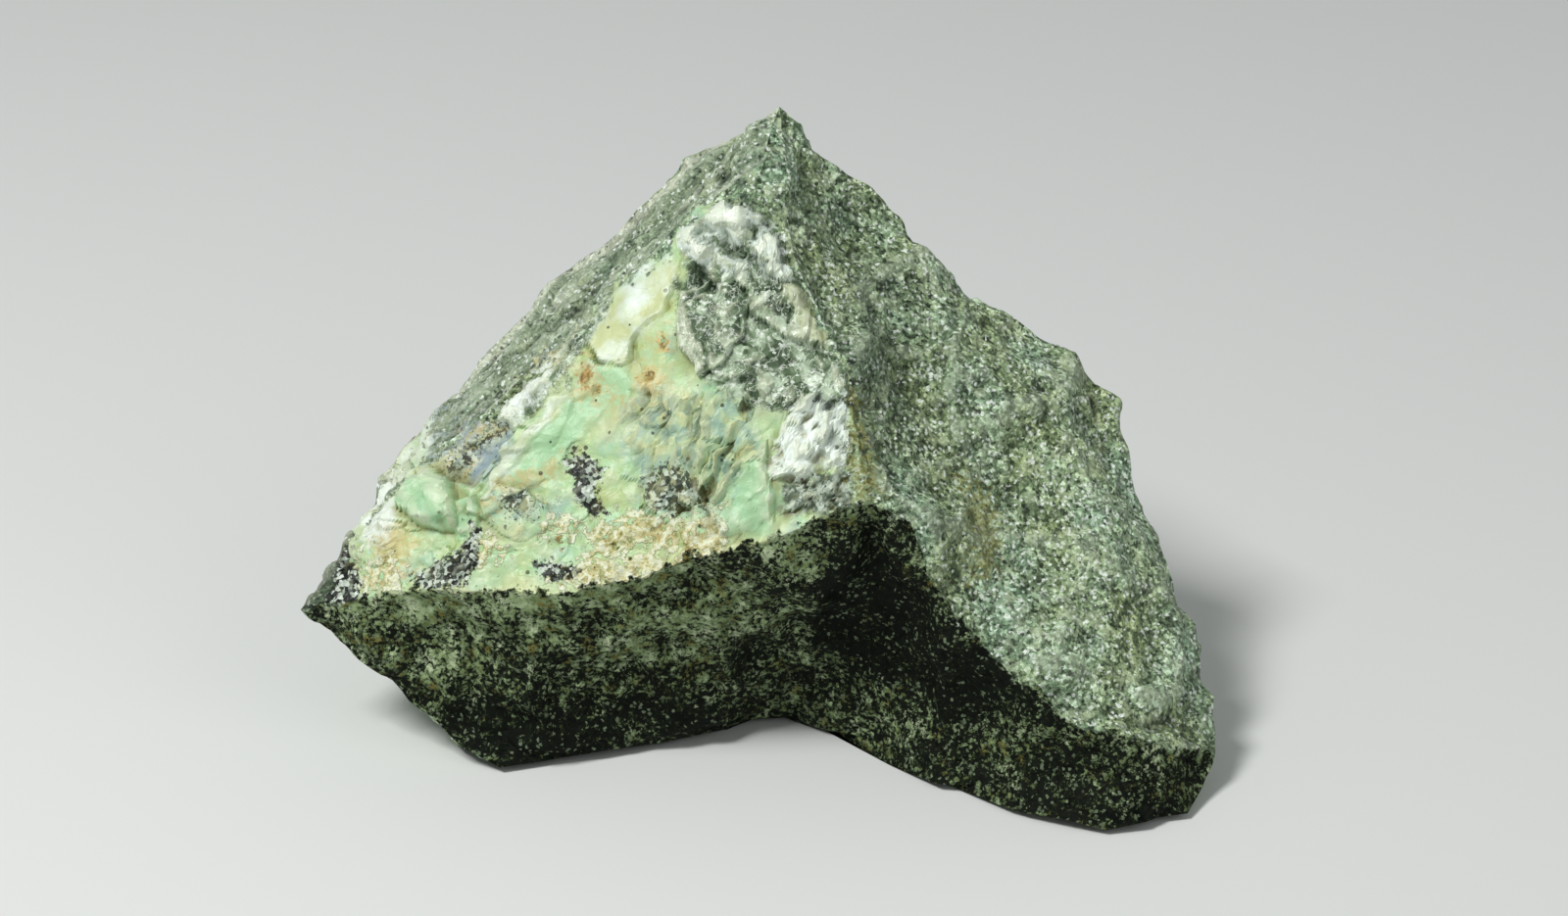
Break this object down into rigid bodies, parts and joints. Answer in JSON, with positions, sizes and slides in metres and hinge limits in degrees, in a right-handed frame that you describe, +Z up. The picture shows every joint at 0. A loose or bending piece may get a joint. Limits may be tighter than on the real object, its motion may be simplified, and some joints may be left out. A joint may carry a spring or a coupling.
{
  "type": "garnierite specimen",
  "caption": "Hand specimen of grey-green peridotite, a leaning pyramid with a mint-green garnierite vein on its front face; it rests on a flat broken base.",
  "frame": {"origin": "middle of the bounding box on the plane the stone rests on", "axes": "+X to the right as the vein face is seen, along the stone's longest extent; +Y away from the viewer, to the back; +Z up"},
  "size_m": [0.1222, 0.0814, 0.0829],
  "materials": {
    "stone": "matte, broken, grainy surface; the vein face is waxy mint green with white and tan areas"
  },
  "bodies": {
    "root": {"garnierite_specimen": "stone"}
  },
  "joints": []
}
